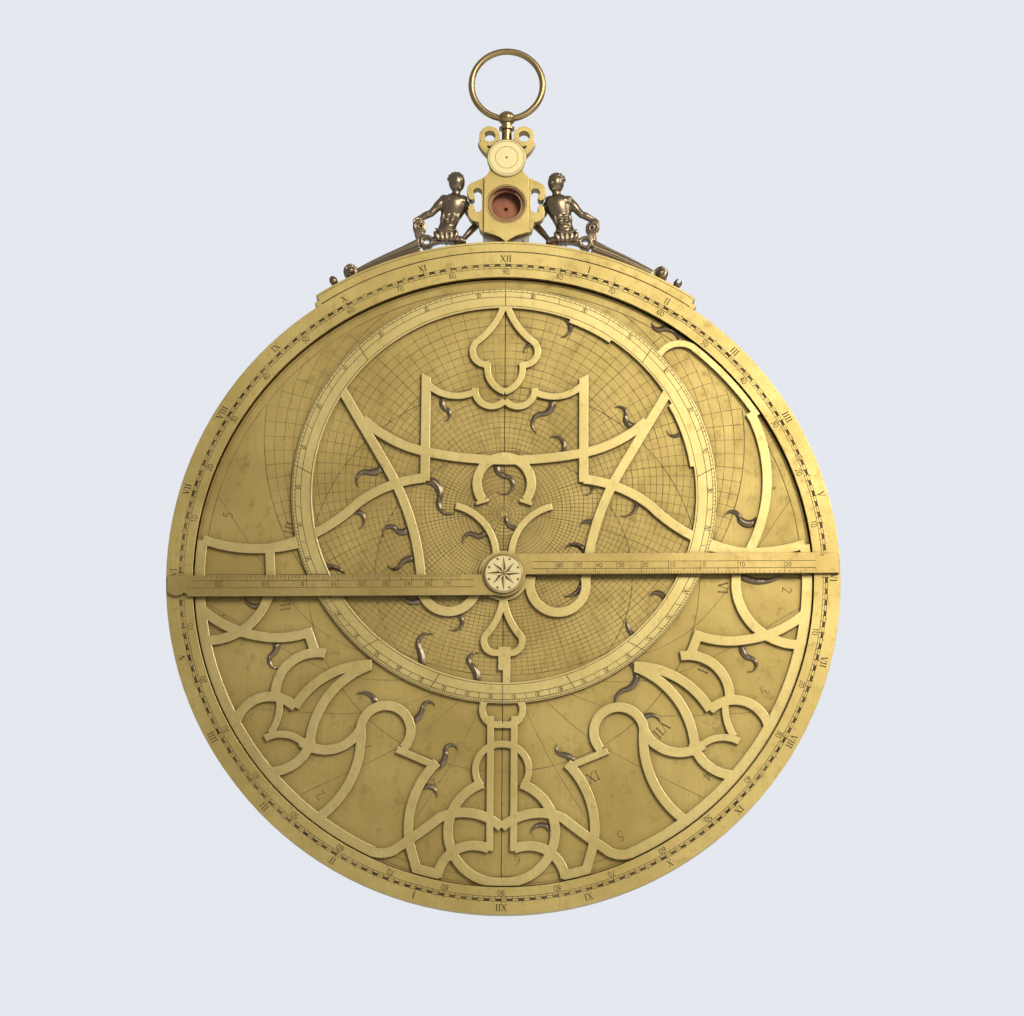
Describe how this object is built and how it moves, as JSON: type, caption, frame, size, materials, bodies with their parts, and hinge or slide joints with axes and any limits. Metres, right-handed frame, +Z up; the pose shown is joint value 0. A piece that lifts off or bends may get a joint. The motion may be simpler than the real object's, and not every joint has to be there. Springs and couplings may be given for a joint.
{
  "type": "planispheric astrolabe",
  "caption": "Planispheric astrolabe with graduated rim, pierced star map, rule, throne with empty compass recess, swivel ring, and alidade with folding sights at the back.",
  "frame": {"origin": "inner top of the suspension ring, where it hangs on a thumb or hook", "axes": "+Z up, the graduated front faces -Y, +X to the viewer's right"},
  "size_m": [0.3, 0.0419, 0.4005],
  "materials": {
    "brass": "satin",
    "pale_brass": "satin",
    "dark_brass": "polished, darkened",
    "cast_bronze": "dark patina",
    "copper": "matte",
    "grey_brass": "dull"
  },
  "bodies": {
    "ring": {"suspension_ring": "dark_brass"},
    "knob": {"swivel_knob": "dark_brass", "swivel_nut": "dark_brass"},
    "mater": {"throne_body": "brass", "throne_panel": "pale_brass", "swivel_cover": "pale_brass", "compass_bowl": "copper", "compass_ring": "dark_brass", "compass_pivot": "dark_brass", "throne_bracket": "grey_brass", "throne_screws": "dark_brass", "throne_base": "brass", "crest_dowels": "brass", "figure_dowels": "brass", "figure_left": "cast_bronze", "figure_right": "cast_bronze", "finial_left": "cast_bronze", "finial_right": "cast_bronze", "limb": "brass", "mater_back": "brass", "tympan_1": "pale_brass", "tympan_2": "pale_brass", "tympan_3": "pale_brass", "axis_bolt": "brass", "back_washer": "brass", "wing_nut": "brass"},
    "rete_body": {"rete": "brass", "star_pointers": "cast_bronze"},
    "rule_body": {"rule": "brass"},
    "alidade_body": {"alidade": "brass", "sight_pins": "dark_brass"},
    "sight_east_body": {"sight_east": "brass"},
    "sight_west_body": {"sight_west": "brass"}
  },
  "joints": [
    {"name": "ring_swing", "type": "hinge", "parent": "ring", "child": "knob", "pos_m": [0, 0, -0.03125], "axis": [1, 0, 0], "range_deg": [-60, 60]},
    {"name": "swivel_turn", "type": "hinge", "parent": "knob", "child": "mater", "pos_m": [0, 0, -0.03125], "axis": [0, 0, 1], "continuous": true},
    {"name": "rete_turn", "type": "hinge", "parent": "mater", "child": "rete_body", "pos_m": [0, 0, -0.2475], "axis": [0, -1, 0], "continuous": true},
    {"name": "rule_turn", "type": "hinge", "parent": "mater", "child": "rule_body", "pos_m": [0, 0, -0.2475], "axis": [0, -1, 0], "continuous": true},
    {"name": "alidade_turn", "type": "hinge", "parent": "mater", "child": "alidade_body", "pos_m": [0, 0, -0.2475], "axis": [0, -1, 0], "continuous": true},
    {"name": "sight_east_fold", "type": "hinge", "parent": "alidade_body", "child": "sight_east_body", "pos_m": [0.114, 0.0083, -0.2475], "axis": [0, 0, 1], "range_deg": [0, 90]},
    {"name": "sight_west_fold", "type": "hinge", "parent": "alidade_body", "child": "sight_west_body", "pos_m": [-0.114, 0.0083, -0.2475], "axis": [0, 0, -1], "range_deg": [0, 90]}
  ]
}
